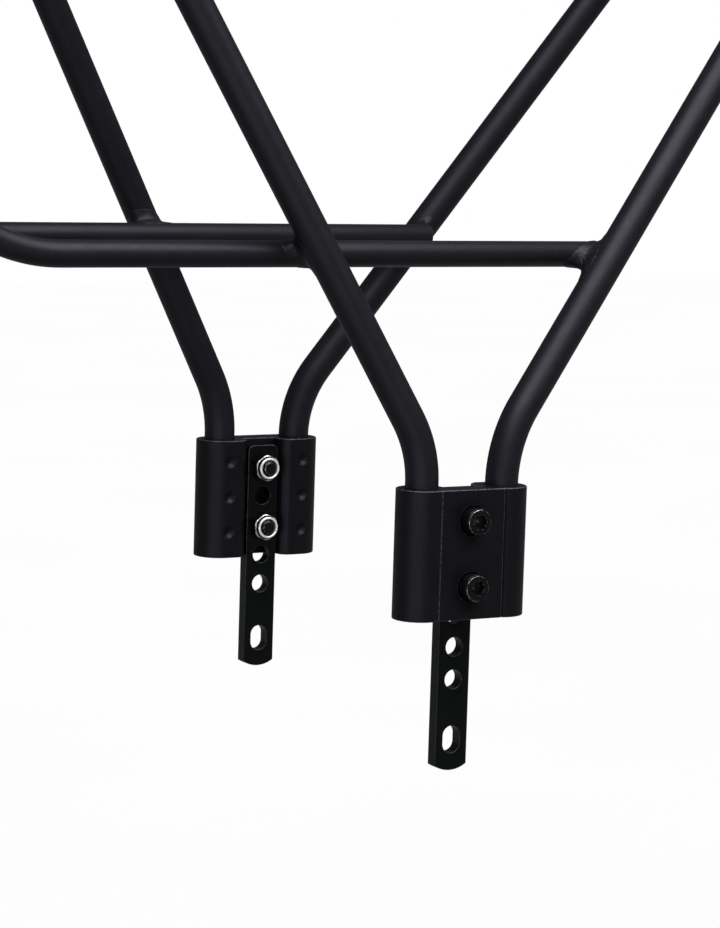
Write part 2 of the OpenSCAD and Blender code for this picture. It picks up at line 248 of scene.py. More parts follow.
def bright_zinc(tree, coords):
    """Plated steel: soft clouds and fine scratches. Its rims, hexagon corners and nut collars turn pale and
    partly non-metallic: rubbing plus a painted reflection of bright surroundings.
    """
    clouds = span(tree, noise(tree, coords, 1.6, 4), 0.3, 0.7, 0, 1)
    colour = blended(tree, clouds, (0.03, 0.031, 0.033), (0.06, 0.061, 0.064))
    # Pale, partly diffuse colour where the rim mark is high: a painted reflection of bright surroundings on
    # top of rubbed rims
    polish_and_reflection = edge_wear_and_highlight(tree, coords, 1.5, 0.1, 0.6, 0.85)
    colour = blended(tree, polish_and_reflection, colour, (0.88, 0.88, 0.86))
    metal = span(tree, polish_and_reflection, 0, 1, 1.0, 0.45)
    satin = span(tree, noise(tree, coords, 0.7, 3), 0.3, 0.7, 0.24, 0.36)
    normal = bumped(tree, [(noise(tree, coords, 0.35, 3), 0.003)])
    return {"Base_Color": colour, "Metallic": metal, "Roughness": satin, "Normal": normal}


def black_oxide(tree, coords):
    """Blackened steel, bare pale metal on its rims and at the bottom of its socket: rubbing on the rims plus
    a painted rim highlight, and a painted gleam in the socket.
    """
    clouds = span(tree, noise(tree, coords, 2.5, 4), 0.3, 0.7, 0, 1)
    colour = blended(tree, clouds, (0.0012, 0.0012, 0.0014), (0.005, 0.005, 0.0054))
    # Bare metal on the rims: oxide rubbing off plus a painted rim highlight; the socket's bottom shows a
    # painted gleam
    rubbed_and_highlight = edge_wear_and_highlight(tree, coords, 1.2, 0.45, 1.0)
    colour = blended(tree, rubbed_and_highlight, colour, (0.5, 0.49, 0.47))
    metal = span(tree, rubbed_and_highlight, 0, 1, 0.0, 1.0)
    satin = span(tree, noise(tree, coords, 0.8, 3), 0.3, 0.7, 0.18, 0.3)
    normal = bumped(tree, [(noise(tree, coords, 0.2, 2), 0.004)])
    return {"Base_Color": colour, "Metallic": metal, "Roughness": satin, "IOR": 1.28, "Normal": normal}


def dark_plastic(base, rough, grain):
    """Moulded plastic with a fine grain."""

    def recipe(tree, coords):
        clouds = span(tree, noise(tree, coords, 2.0, 3), 0.3, 0.7, 0, 1)
        colour = blended(tree, clouds, tuple(c * 0.75 for c in base), base)
        # Lighter rims: rubbing plus a painted edge highlight
        rubbed_and_highlight = edge_wear_and_highlight(tree, coords, 0.8)
        colour = blended(tree, rubbed_and_highlight, colour, tuple(c * 2.5 for c in base))
        satin = span(tree, noise(tree, coords, 0.6, 2), 0.3, 0.7, rough - 0.06, rough + 0.06)
        normal = bumped(tree, [(noise(tree, coords, 0.25, 2), grain)])
        return {"Base_Color": colour, "Roughness": satin, "IOR": 1.46, "Normal": normal}

    return recipe


# Each finish is the CAD's material slot and the material that is drawn.
FINISHES = {
    "coat": ("frame_coat", finish_of("satin_black_coat", powder_coat(TUBE_BLACK))),
    "block": ("frame_coat", finish_of("deep_black_coat", powder_coat(BLOCK_BLACK))),
    "plate": ("plate_coat", finish_of(
        "gloss_black_coat", powder_coat(PLATE_BLACK, RUB_AND_HIGHLIGHT_PLATE, GLOSS, PLATE_PEEL, PLATE_SHEEN, 1.26))),
    "oxide": ("black_oxide", finish_of("black_oxide", black_oxide)),
    "zinc": ("zinc", finish_of("bright_zinc", bright_zinc)),
    "nylon": ("nylon", finish_of("dark_nylon", dark_plastic((0.02, 0.02, 0.022), 0.5, 0.008))),
    "plug": ("plug_plastic", finish_of("plug_plastic", dark_plastic((0.014, 0.014, 0.015), 0.55, 0.02))),
}

# ---- mesh building ----


class Shell:
    """Vertices in millimetres with a rim mark each (paint rubbing plus painted highlight), and the faces
    between them.
    """

    def __init__(self):
        self.points = []
        self.wear_and_highlight = []
        self.faces = []
        self.flat = set()

    def add(self, points, wear_and_highlight=0.0):
        """Adds a loop of points and returns their numbers."""
        first = len(self.points)
        self.points += [tuple(float(c) for c in p) for p in points]
        self.wear_and_highlight += list(wear_and_highlight) if isinstance(wear_and_highlight, list) else [wear_and_highlight] * len(points)
        return list(range(first, len(self.points)))

    def band(self, one, two):
        """Quads between two closed loops of the same length."""
        for i in range(len(one)):
            j = (i + 1) % len(one)
            self.faces.append((one[i], one[j], two[j], two[i]))

    def fill(self, loops, flatten):
        """Triangles between an outline and its holes, all given as loops of numbers."""
        numbers = [n for loop in loops for n in loop]
        flat = [Vector(flatten(self.points[n])) for n in numbers]
        edges = []
        start = 0
        for loop in loops:
            size = len(loop)
            edges += [(start + i, start + (i + 1) % size) for i in range(size)]
            start += size
        verts, _, faces, origins, _, _ = delaunay_2d_cdt(flat, edges, [], 1, 1e-7)
        lookup = [numbers[o[0]] for o in origins]
        rings = [[flatten(self.points[n]) for n in loop] for loop in loops]
        for face in faces:
            centre = sum((verts[i] for i in face), Vector((0, 0))) / len(face)
            if sum(inside(centre, ring) for ring in rings) % 2:
                self.flat.add(len(self.faces))
                self.faces.append(tuple(lookup[i] for i in face))

    def stack(self, rings):
        """Quads between each ring and the next."""
        for one, two in zip(rings, rings[1:]):
            self.band(one, two)

    def join(self, other):
        """Takes in the points and faces of another shell."""
        first = len(self.points)
        self.flat |= {n + len(self.faces) for n in other.flat}
        self.faces += [tuple(i + first for i in face) for face in other.faces]
        self.points += other.points
        self.wear_and_highlight += other.wear_and_highlight

    def piece(self, name, body, finish, place=None, stands_for=()):
        """Makes the shell an object that rides on a body. place maps a point to the row frame."""
        bm = bmesh.new()
        # Per vertex: rubbing of the finish on rims, together with painted edge highlights and painted
        # reflections
        layer = bm.verts.layers.float.new("wear_and_highlight")
        for point, wear_and_highlight in zip(self.points, self.wear_and_highlight):
            vert = bm.verts.new(Vector(place(*point) if place else point) * MM)
            vert[layer] = wear_and_highlight
        bm.verts.ensure_lookup_table()
        for number, face in enumerate(self.faces):
            made = bm.faces.new([bm.verts[i] for i in face])
            made.smooth = number not in self.flat
        bmesh.ops.delete(bm, geom=[v for v in bm.verts if not v.link_faces], context="VERTS")
        bmesh.ops.remove_doubles(bm, verts=bm.verts, dist=1e-6)
        bmesh.ops.recalc_face_normals(bm, faces=bm.faces)
        mesh = bpy.data.meshes.new(name)
        bm.to_mesh(mesh)
        bm.free()
        piece_of(mesh, name, body, finish, stands_for)


def piece_of(mesh, name, body, finish, stands_for=(), crease=36):
    """An object of a mesh, riding on a body, with its sharp edges kept."""
    slot, material = FINISHES[finish]
    mesh.set_sharp_from_angle(angle=math.radians(crease))
    mesh.materials.append(material)
    obj = bpy.data.objects.new(name, mesh)
    scene.collection.objects.link(obj)
    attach(obj, body)
    if stands_for:
        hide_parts(*stands_for)


def inside(point, ring):
    """True if a 2D point lies in a closed ring."""
    x, y = point[0], point[1]
    odd = False
    for i in range(len(ring)):
        (x1, y1), (x2, y2) = ring[i - 1], ring[i]
        if (y1 > y) != (y2 > y) and x < (x2 - x1) * (y - y1) / (y2 - y1) + x1:
            odd = not odd
    return odd


def arc(centre, radius, start, end, steps):
    """Points on an arc, both ends included, with angles in degrees."""
    angles = np.radians(np.linspace(start, end, steps + 1))
    return [(centre[0] + radius * math.cos(a), centre[1] + radius * math.sin(a)) for a in angles]


def circle(centre, radius, steps=48):
    """Points of a full circle, the first one not repeated."""
    return arc(centre, radius, 0, 360, steps)[:-1]


def line(start, end, step):
    """Points from start towards end, about a step apart, without the end."""
    count = max(1, round(math.dist(start, end) / step))
    return [tuple(np.array(start) + (np.array(end) - np.array(start)) * i / count) for i in range(count)]


def inset(loop, distance):
    """A closed counterclockwise loop moved inward by a distance."""
    moved = []
    for i in range(len(loop)):
        before, here, after = (np.array(loop[j % len(loop)]) for j in (i - 1, i, i + 1))
        one = (here - before) / (np.linalg.norm(here - before) + 1e-12)
        two = (after - here) / (np.linalg.norm(after - here) + 1e-12)
        normal = np.array((-one[1], one[0])) + np.array((-two[1], two[0]))
        normal /= np.linalg.norm(normal) + 1e-12
        cosine = max(0.5, normal @ np.array((-one[1], one[0])))
        moved.append(tuple(here + normal * distance / cosine))
    return moved


def rounded_rows(depth, edge, steps=3, rows=1):
    """(height, inset, rim mark) of each row of a wall whose two rims are rounded. The mark peaks on the
    rounded rims: paint rubbing thin there plus a painted edge highlight.
    """
    turns = [math.pi / 2 * i / steps for i in range(steps + 1)]
    rim = [(edge * (1 - math.cos(t)), edge * (1 - math.sin(t)), math.sin(2 * t)) for t in turns]
    rim.append((edge * 1.5, 0.0, 0.0))
    straight = depth - 3 * edge
    inner = [(edge * 1.5 + straight * k / rows, 0.0, 0.0) for k in range(1, rows)]
    return rim + inner + [(depth - h, move, wear_and_highlight) for h, move, wear_and_highlight in rim[::-1]]


def slab(outline, holes, depth, edge, rows=1, hole_edge=None):
    """A plate with rounded rims: outline and holes in XY, depth along Z."""
    shell = Shell()
    low_rims, high_rims = [], []
    for number, loop in enumerate([outline] + list(holes)):
        sign = 1 if number == 0 else -1
        rim = edge if number == 0 or hole_edge is None else hole_edge
        previous = None
        for height, move, wear_and_highlight in rounded_rows(depth, rim, rows=rows if number == 0 else 1):
            moved = inset(loop, sign * move)
            ring = shell.add([(x, y, height) for x, y in moved], wear_and_highlight)
            if previous:
                shell.band(previous, ring)
            else:
                low_rims.append(ring)
            previous = ring
        high_rims.append(previous)
    shell.fill(low_rims, lambda p: p[:2])
    shell.fill(high_rims, lambda p: p[:2])
    return shell


def turned(profile, count, radius=None):
    """A shell turned round Z from (radius, height, rim mark) points. radius(r, angle, height) may reshape
    it.
    """
    shell = Shell()
    previous = None
    for r, height, wear_and_highlight in profile:
        angles = [2 * math.pi * i / count for i in range(count)]
        radii = [radius(r, a, height) if radius else r for a in angles]
        ring = shell.add([(q * math.cos(a), q * math.sin(a), height) for q, a in zip(radii, angles)], wear_and_highlight)
        if previous:
            shell.band(previous, ring)
        previous = ring
    return shell


def mirrored(side):
    """Places a shape built on the left on either side."""
    return lambda x, y, z: (x, side * y, z)


def outward(side, x, y, z):
    """Places a shape at x, y, z with its Z away from the centre plane."""
    return lambda u, v, w: (x + u, side * (y + w), z + v)


def inward(side, x, y, z):
    """The same with its Z toward the centre plane."""
    return lambda u, v, w: (x + u, side * (y - w), z + v)


# ---- clamp blocks ----

BLOCK_EDGE = 0.45
CHANNEL_GAP = 0.6
CREASE_W, CREASE_DEPTH = 0.4, 0.35
# A painted highlight: a lighter strip on the web beside each crease
CREASE_HIGHLIGHT, CREASE_BAND = 0.6, 0.14
STAKES, FIRST_STAKE, STAKE_PITCH = 3, 8.4, 14.1
STAKE_R, STAKE_DEPTH, STAKE_X = 2.5, 1.35, BORE_X - 0.5
BORE_MOUTH, BORE_PLAY = 0.3, 0.05
BLOCK_ROWS, RIM_ROWS = 92, 4
NEAR = 1e-6


def block_outline():
    """The block's section: x along the bike, v outward from the bores.

    wall is the front side of the plate's channel, which flares out to the inner side of the lobe.
    """
    half = PLATE_W / 2 + CHANNEL_GAP
    floor = PLATE_OUT - BORE_Y
    crease_x = BORE_X - math.sqrt(LOBE_R**2 - WEB_OUTER**2)
    crease_turn = math.degrees(math.atan2(WEB_OUTER, crease_x - BORE_X))
    wall = [(half, floor), (half, floor - 2.6), (half + 0.25, floor - 4.2), (half + 0.95, floor - 5.9)]
    wall += [(half + 2.0, floor - 7.0), (half + 3.1, -LOBE_R + 0.25), (half + 3.8, -LOBE_R)]
    right = []
    for one, two in zip(wall, wall[1:] + [(BORE_X, -LOBE_R)]):
        right += line(one, two, 0.5)
    right += arc((BORE_X, 0), LOBE_R, -90, crease_turn - 2.5, 64)
    right += [(crease_x + 0.1, WEB_OUTER - CREASE_DEPTH)]
    right += [(crease_x - CREASE_W - out, WEB_OUTER) for out in (0, CREASE_BAND, CREASE_BAND * 1.6)]
    left = [(-x, v) for x, v in right[::-1]]
    web = line(right[-1], left[0], 0.6)[1:]
    floor_run = line(left[-1], right[0], 0.6)[1:]
    return right + web + left + floor_run


def dimpled(x, v, z):
    """A point of the block's skin with the stake marks pressed in from the inner side."""
    if v > -3 or abs(x) < STAKE_X - STAKE_R or abs(x) > STAKE_X + STAKE_R:
        return v
    for k in range(STAKES):
        rise = z - (BLOCK_TOP - FIRST_STAKE - k * STAKE_PITCH)
        reach = math.hypot(abs(x) - STAKE_X, rise) / STAKE_R
        if reach < 1:
            v += STAKE_DEPTH * (1 - reach**2) ** 1.3
    return v


def block_walls(shell, outline):
    """The rings of the block's skin, from the bottom to the top."""
    # The web's edge beside each crease gets a painted highlight strip
    web_edge = max(x for x, v in outline if abs(v - WEB_OUTER) < NEAR) - CREASE_BAND
    rubbed_and_highlight = [CREASE_HIGHLIGHT * (v == WEB_OUTER and abs(x) > web_edge - NEAR) for x, v in outline]
    rings = []
    for height, move, wear_and_highlight in rounded_rows(BLOCK_TOP - BLOCK_BOTTOM, BLOCK_EDGE, rows=BLOCK_ROWS):
        z = BLOCK_BOTTOM + height
        ring = [(x, BORE_Y + dimpled(x, v, z), z) for x, v in inset(outline, move)]
        rings.append(shell.add(ring, [max(wear_and_highlight, rim) for rim in rubbed_and_highlight]))
    return rings


def screw_hole(shell, z):
    """A counterbored hole from the web to the channel. Returns its outer and inner mouth."""
    face = BORE_Y + WEB_OUTER
    # The counterbore's mouth gets the full rim mark: a thin lighter ring, partly rubbing and partly a
    # painted edge highlight
    rows = [(face, SEAT_R + 0.35, 0.0), (face - 0.1, SEAT_R + 0.1, 1.0), (face - 0.35, SEAT_R, 0.0)]
    rows += [(face - SEAT_DEPTH, SEAT_R, 0.0), (face - SEAT_DEPTH, SCREW_HOLE_R, 0.0)]
    rows += [(PLATE_OUT, SCREW_HOLE_R, 0.0)]
    rings = [shell.add([(x, y, z + w) for x, w in circle((0, 0), r, 64)], wear_and_highlight) for y, r, wear_and_highlight in rows]
    shell.stack(rings)
    return rings[0], rings[-1]


def leg_bore(shell, x):
    """A bore with eased mouths. Returns its lower and upper mouth."""
    rows = [(BLOCK_BOTTOM, BORE_MOUTH), (BLOCK_BOTTOM + BORE_MOUTH, BORE_PLAY)]
    rows += [(BLOCK_TOP - BORE_MOUTH, BORE_PLAY), (BLOCK_TOP, BORE_MOUTH)]
    rings = [shell.add([(u, v, z) for u, v in circle((x, BORE_Y), LEG_R + out, 64)], 0.3) for z, out in rows]
    shell.stack(rings)
    return rings[0], rings[-1]


def block(name, side):
    """A clamp block. The faces with screw holes are left out of its walls and filled round them."""
    outline = block_outline()
    count = len(outline)
    shell = Shell()
    rings = block_walls(shell, outline)
    web = [i for i, (_, v) in enumerate(outline) if abs(v - WEB_OUTER) < NEAR]
    web = web[2:-2]  # the painted highlight strips along the creases stay part of the walls
    bed = [i for i, (_, v) in enumerate(outline) if abs(v - PLATE_OUT + BORE_Y) < NEAR]
    bed = [i for i in bed if i > count // 2] + [i for i in bed if i < count // 2]
    patches = {frozenset(pair) for run in (web, bed) for pair in zip(run, run[1:])}
    first, last = RIM_ROWS, len(rings) - 1 - RIM_ROWS
    for number, (one, two) in enumerate(zip(rings, rings[1:])):
        for i in range(count):
            j = (i + 1) % count
            if not (first <= number < last and frozenset((i, j)) in patches):
                shell.faces.append((one[i], one[j], two[j], two[i]))
    outer, inner = zip(*[screw_hole(shell, z) for z in SCREW_ZS])
    for run, holes in ((web, outer), (bed, inner)):
        border = [rings[first][i] for i in run]
        border += [rings[k][run[-1]] for k in range(first + 1, last)]
        border += [rings[last][i] for i in run[::-1]]
        border += [rings[k][run[0]] for k in range(last - 1, first, -1)]
        shell.fill([border, *holes], lambda p: (p[0], p[2]))
    lower, upper = zip(*[leg_bore(shell, x) for x in (-BORE_X, BORE_X)])
    for ring, mouths in ((rings[0], lower), (rings[-1], upper)):
        shell.fill([ring, *mouths], lambda p: p[:2])
    shell.piece(f"{name}_block_body", "rack", "block", mirrored(side), [f"{name}_block"])


# ---- dropout plates ----

PLATE_EDGE = 0.4
HOLE_EDGE = 0.3
PLATE_CORNER = 2.5
TIP_SAG = 2.1
SLOT_RUN = 1.5


def plate(name, side):
    """A dropout plate with its slot at the bottom and round holes above it."""
    low, high = box_mm(f"{name}_plate")
    slot_z = LEFT_SLOT_Z if side == LEFT else -LEFT_SLOT_Z
    half = PLATE_W / 2
    end_r = (half**2 + TIP_SAG**2) / (2 * TIP_SAG)
    swing = math.degrees(math.asin(half / end_r))
    bottom, top = low[2], high[2]
    outline = arc((0, bottom + end_r), end_r, 270 - swing, 270 + swing, 20)
    outline += arc((half - PLATE_CORNER, top - PLATE_CORNER), PLATE_CORNER, 0, 90, 8)
    outline += arc((PLATE_CORNER - half, top - PLATE_CORNER), PLATE_CORNER, 90, 180, 8)
    slot = arc((0, slot_z + SLOT_RUN), HOLE_R, 0, 180, 24)
    slot += arc((0, slot_z - SLOT_RUN), HOLE_R, 180, 360, 24)
    holes = [slot]
    z = slot_z + SLOT_DROP
    while z < top - HOLE_R:
        holes.append(circle((0, z), HOLE_R, 48))
        z += HOLE_PITCH
    shell = slab(outline, holes, PLATE_OUT - PLATE_IN, PLATE_EDGE, hole_edge=HOLE_EDGE)
    shell.piece(f"{name}_dropout_plate", "rack", "plate", outward(side, 0, PLATE_IN, 0), [f"{name}_plate"])


# ---- fasteners ----

THREAD_PITCH, THREAD_DEPTH, THREAD_RUN, THREAD_STEP = 1.0, 0.32, 4.0, 0.125
TIP_R, TIP_EDGE = 2.0, 0.7
HEAD_EDGE, HEAD_BEVEL = 0.22, 0.42
KNURL_TEETH, KNURL_DEPTH = 40, 0.16
KEY_DEPTH, KEY_TAPER = 2.6, 0.8
SHANK_R = SCREW_R - 0.02
HEAD_FOOT = 0.3
THREAD_SIDES, HEAD_SIDES, NUT_SIDES, RING_SIDES, WASHER_SIDES = 64, 240, 144, 64, 72
CLAMP_SCREW_L, STAY_SCREW_L = 20, 16
NUT_TURN = math.radians(36)
COLLAR_R, COLLAR_BORE, COLLAR_RISE = 4.42, 3.25, 0.85
NUT_BORE = 3.05
CHAMFER_R, CHAMFER_SLOPE = 4.7, 1.6
CORNER_WEAR_AND_REFLECTION, CORNER_BAND = 0.5, 0.6
GROOVE_R = 3.65
INSERT_R, INSERT_SINK = 3.3, 0.95
WASHER_BORE, WASHER_R, WASHER_T, WASHER_EDGE = 3.2, 6.0, 1.2, 0.25


def shank_shell(length):
    """The shank of a screw below z = 0, threaded at its tip."""

    def thread(r, angle, height):
        if r < SCREW_R - 0.01:
            return r
        turn = (height / THREAD_PITCH - angle / (2 * math.pi)) % 1
        return r - THREAD_DEPTH * abs(2 * turn - 1)

    tip = -length
    start = tip + TIP_EDGE
    profile = [(0, tip, 0), (TIP_R, tip, 0), (TIP_R + 0.3, tip + 0.06, 0.75), (SHANK_R, start, 0)]
    rows = int(THREAD_RUN / THREAD_STEP)
    profile += [(SCREW_R, start + THREAD_STEP * i, 0) for i in range(rows)]
    profile += [(SHANK_R, start + THREAD_RUN + 0.3, 0), (SHANK_R, 0.0, 0)]
    return turned(profile, THREAD_SIDES, thread)


def head_shell():
    """A knurled head on z = 0 with a hexagon socket."""

    def knurl(r, angle, height):
        if r < HEAD_R - 0.01:
            return r
        return r - KNURL_DEPTH * (0.5 - 0.5 * math.cos(KNURL_TEETH * angle))

    profile = [(SHANK_R, 0, 0), (HEAD_R - HEAD_FOOT, 0, 0), (HEAD_R - 0.05, 0.25, 0.5)]
    profile += [(HEAD_R, 0.5, 0), (HEAD_R, HEAD_H - 0.75, 0), (HEAD_R - 0.04, HEAD_H - 0.7, 0)]
    rim = HEAD_R - HEAD_BEVEL - HEAD_EDGE
    profile += [
        (rim + HEAD_EDGE * math.cos(t), HEAD_H - HEAD_EDGE * (1 - math.sin(t)), math.sin(2 * t))
        for t in np.linspace(0, math.pi / 2, 6)
    ]
    profile += [(rim - 0.08, HEAD_H, 0)]
    head = turned(profile, HEAD_SIDES, knurl)
    top = list(range(len(head.points) - HEAD_SIDES, len(head.points)))
    hexagon = [
        (KEY / 2 / math.cos(math.radians((a % 60) - 30)), math.radians(a)) for a in range(0, 360, 5)
    ]
    rings = []
    for grow, depth, wear_and_highlight in ((0.3, 0, 0), (0.08, 0.08, 0.7), (0, 0.3, 0), (0, KEY_DEPTH, 0)):
        rings.append(head.add(
            [((r + grow) * math.cos(a), (r + grow) * math.sin(a), HEAD_H - depth) for r, a in hexagon], wear_and_highlight
        ))
    # The socket's bottom point gets the full rim mark: a painted gleam inside the socket
    rings.append(head.add([(0, 0, HEAD_H - KEY_DEPTH - KEY_TAPER)] * len(hexagon), 1.0))
    head.fill([top, rings[0]], lambda p: p[:2])
    head.stack(rings)
    return head


def screw_shell(length):
    """A socket head screw with its seat at z = 0 and its head upward."""
    shell = shank_shell(length)
    shell.join(head_shell())
    return shell


def nut_shell():
    """A lock nut standing on z = 0, with a chamfered hexagon and a rolled collar."""

    def hexagon(r, angle, height):
        if height > NUT_HEX_H or r < 4.5:
            return r
        turn = math.degrees(angle - NUT_TURN) % 60
        flat = NUT_ACROSS / 2 / math.cos(math.radians(turn - 30))
        chamfer = CHAMFER_R + CHAMFER_SLOPE * min(height + 0.1, NUT_HEX_H - height)
        return min(flat, chamfer, NUT_CORNER_R)

    heights = [0, 0.12, 0.24, 0.36, 0.48, 0.7, NUT_HEX_H - 0.7]
    heights += [NUT_HEX_H - h for h in (0.56, 0.42, 0.28, 0.14, 0.001)]
    profile = [(NUT_BORE, 0, 0)] + [(NUT_ACROSS, h, 0) for h in heights]
    profile += [(COLLAR_R - 0.15, NUT_HEX_H + 0.01, 0), (COLLAR_R - 0.05, NUT_HEX_H + 0.2, 0)]
    middle_r, half = (COLLAR_R + COLLAR_BORE) / 2, (COLLAR_R - COLLAR_BORE) / 2
    # The collar's dome carries the rim mark, highest on top: a painted reflection ring
    turns = [math.radians(180 * i / 16) for i in range(17)]
    profile += [
        (middle_r + half * math.cos(t), NUT_H - COLLAR_RISE * (1 - math.sin(t)), math.sin(t)) for t in turns
    ]
    profile += [(GROOVE_R, NUT_H - 1.0, 0), (GROOVE_R, NUT_H - 1.4, 0), (NUT_BORE, NUT_H - 1.5, 0)]
    shell = turned(profile + [profile[0]], NUT_SIDES, hexagon)
    # Hexagon corners near the top: rubbed by spanners, and made pale as a painted reflection
    for i, (x, y, z) in enumerate(shell.points):
        if math.hypot(x, y) > NUT_ACROSS / 2 - 0.05 and NUT_HEX_H - CORNER_BAND < z < NUT_HEX_H:
            shell.wear_and_highlight[i] = CORNER_WEAR_AND_REFLECTION
    return shell


def insert_shell():
    """The ring of the lock nut that grips the thread."""
    centre = NUT_H - INSERT_SINK
    profile = [
        (INSERT_R + 0.3 * math.cos(t), centre + 0.32 * math.sin(t), 0.5)
        for t in [2 * math.pi * i / 12 for i in range(13)]
    ]
    return turned(profile, RING_SIDES)


def washer_shell(inner, outer, thickness):
    """A flat washer whose rims are marked pale: rubbing plus a painted reflection."""
    edge = WASHER_EDGE
    lower = [(inner, edge, 0), (inner + edge, 0, 0), (outer - edge, 0, 0)]
    lower += [(outer - 0.07, 0.07, 1), (outer, edge, 0)]
    upper = [(r, thickness - h, wear_and_highlight) for r, h, wear_and_highlight in lower[::-1]]
    return turned(lower + upper + lower[:1], WASHER_SIDES)


def fasteners():
    """The screws, nuts and nut inserts of the clamps and of the stays."""
    clamp_screw, stay_screw = screw_shell(CLAMP_SCREW_L), screw_shell(STAY_SCREW_L)
    nut, grip = nut_shell(), insert_shell()
    washer = washer_shell(WASHER_BORE, WASHER_R, WASHER_T)
    px, pz = PIVOT
    seat = STAY_Y + STAY_T + STAY_GAP
    for name, side in SIDES.items():
        for end, z in zip(("upper", "lower"), SCREW_ZS):
            start = f"{name}_{end}_clamp_"
            outer = outward(side, 0, BORE_Y + WEB_OUTER - SEAT_DEPTH, z)
            inner = inward(side, 0, PLATE_IN, z)
            clamp_screw.piece(f"{start}screw", "rack", "oxide", outer, [f"{name}_clamp_screws"])
            nut.piece(f"{start}nut", "rack", "zinc", inner, [f"{name}_clamp_nuts"])
            grip.piece(f"{start}nut_ring", "rack", "nylon", inner, [f"{name}_nut_inserts"])
        start = f"{name}_stay_"
        body = f"{start}clamp"
        outer = outward(side, px, seat + WASHER_T, pz)
        inner = inward(side, px, LUG_Y, pz)
        stay_screw.piece(f"{start}cap_screw", body, "oxide", outer, [f"{start}screw"])
        washer.piece(f"{start}flat_washer", body, "zinc", outward(side, px, seat, pz), [f"{start}washers"])
        nut.piece(f"{start}lock_nut", body, "zinc", inner, [f"{start}nut"])
        grip.piece(f"{start}nut_ring", body, "nylon", inner, [f"{start}nut_insert"])


# ---- deck parts ----

LUG_T = 4.0
LUG_R = 8.0
STAY_T = 3.0
STAY_GAP = 0.15
STAY_SLOPE = math.radians(12)
STAY_R = 6.5
STAY_FRONT = 120.0
STAY_TAIL = 30.0
CROSS_R = 5.0
SLOT_R, SLOT_REAR, SLOT_FRONT = 3.3, -20.0, 56.0
M5_HOLE_R = 2.75
LUG_HOLE_R = 3.2
BRACKET_NECK, BRACKET_CORNER, BRACKET_FOOT, BRACKET_HOLE_Y = 12.0, 4.0, 18.0, 25.0
BRACKET_TOP_GAP = 5.2
PLUG_STEM, PLUG_STEM_R, PLUG_R, PLUG_FLANGE, PLUG_TOP = 10.0, 4.45, 6.0, 0.85, 1.98
PLUG_SIDES = 64
PIVOT = tuple(middle("left_stay_washers")[[0, 2]])
LUG_Y = box_mm("left_stay_lug")[0][1]
STAY_Y = LUG_Y + LUG_T + STAY_GAP


def stay(name, side):
    """A flat stay with a long slot for its clamp and an eye at its front end."""
    px, pz = PIVOT
    left, right = (STAY_R - STAY_TAIL, 0), (STAY_FRONT - STAY_R, 0)
    outline = arc(left, STAY_R, 90, 270, 32) + arc(right, STAY_R, -90, 90, 32)
    slot = arc((SLOT_R + SLOT_REAR, 0), SLOT_R, 90, 270, 20)
    slot += arc((SLOT_FRONT - SLOT_R, 0), SLOT_R, -90, 90, 20)
    shell = slab(outline, [slot, circle(right, M5_HOLE_R, 40)], STAY_T, 0.4, hole_edge=0.25)
    cos, sin = math.cos(STAY_SLOPE), math.sin(STAY_SLOPE)

    def place(u, v, w):
        return px + u * cos + v * sin, side * (STAY_Y + w), pz - u * sin + v * cos

    shell.piece(f"{name}_stay_bar", f"{name}_stay", "plate", place, [f"{name}_stay"])


def lug(name, side):
    """The lug that hangs from the cross tube and carries a stay."""
    px, pz = PIVOT
    rise = DECK_Z - pz
    notch = arc((0, rise), CROSS_R - 0.05, 0, -180, 24)
    outline = arc((0, 0), LUG_R, 180, 360, 40) + [(LUG_R, rise)] + notch + [(-LUG_R, rise)]
    shell = slab(outline, [circle((0, 0), LUG_HOLE_R, 40)], LUG_T, 0.35)
    shell.piece(f"{name}_stay_eye_lug", "rack", "coat", outward(side, px, LUG_Y, pz), [f"{name}_stay_lug"])


def light_bracket():
    """The bracket below the tail hoop: an upright neck and a cross piece with two holes."""
    low, high = box_mm("light_bracket")
    half, neck, corner, foot = high[1], BRACKET_NECK, BRACKET_CORNER, BRACKET_FOOT
    bottom = low[2]
    top = DECK_Z - BRACKET_TOP_GAP - bottom
    outline = arc((corner - half, corner), corner, 180, 270, 8)
    outline += arc((half - corner, corner), corner, 270, 360, 8)
    outline += arc((half - corner, foot - corner), corner, 0, 90, 8)
    outline += [(neck, foot), (neck, top), (-neck, top), (-neck, foot)]
    outline += arc((corner - half, foot - corner), corner, 90, 180, 8)
    holes = [circle((y, foot / 2), M5_HOLE_R, 40) for y in (-BRACKET_HOLE_Y, BRACKET_HOLE_Y)]
    shell = slab(outline, holes, high[0] - low[0], 0.45, hole_edge=0.3)

    def place(u, v, w):
        return low[0] + w, u, bottom + v

    shell.piece("tail_light_bracket", "rack", "coat", place, ["light_bracket"])


def end_plug(name, side):
    """A push-in plug: a stem in the rail's bore and a domed flange on its end."""
    profile = [(0, -PLUG_STEM, 0), (PLUG_STEM_R - 0.25, -PLUG_STEM, 0), (PLUG_STEM_R, 0.3 - PLUG_STEM, 0)]
    profile += [(PLUG_STEM_R, 0, 0), (PLUG_R - 0.2, 0, 0), (PLUG_R - 0.03, 0.15, 1)]
    profile += [(PLUG_R, 0.3, 0), (PLUG_R, PLUG_FLANGE, 0.3)]
    profile += [(PLUG_R - 1.2 + 1.2 * math.cos(t), PLUG_FLANGE + 1.0 * math.sin(t), math.sin(2 * t))
                for t in np.radians((20, 40, 60, 80))]
    profile += [(PLUG_R / 2, PLUG_TOP - 0.05, 0), (PLUG_R / 4, PLUG_TOP - 0.01, 0), (0, PLUG_TOP, 0)]

    def place(u, v, w):
        return DECK_FRONT + w, side * (DECK_Y + u), DECK_Z + v

    turned(profile, PLUG_SIDES).piece(f"{name}_rail_plug", "rack", "plug", place, [f"{name}_end_plug"])


# ---- tubes ----

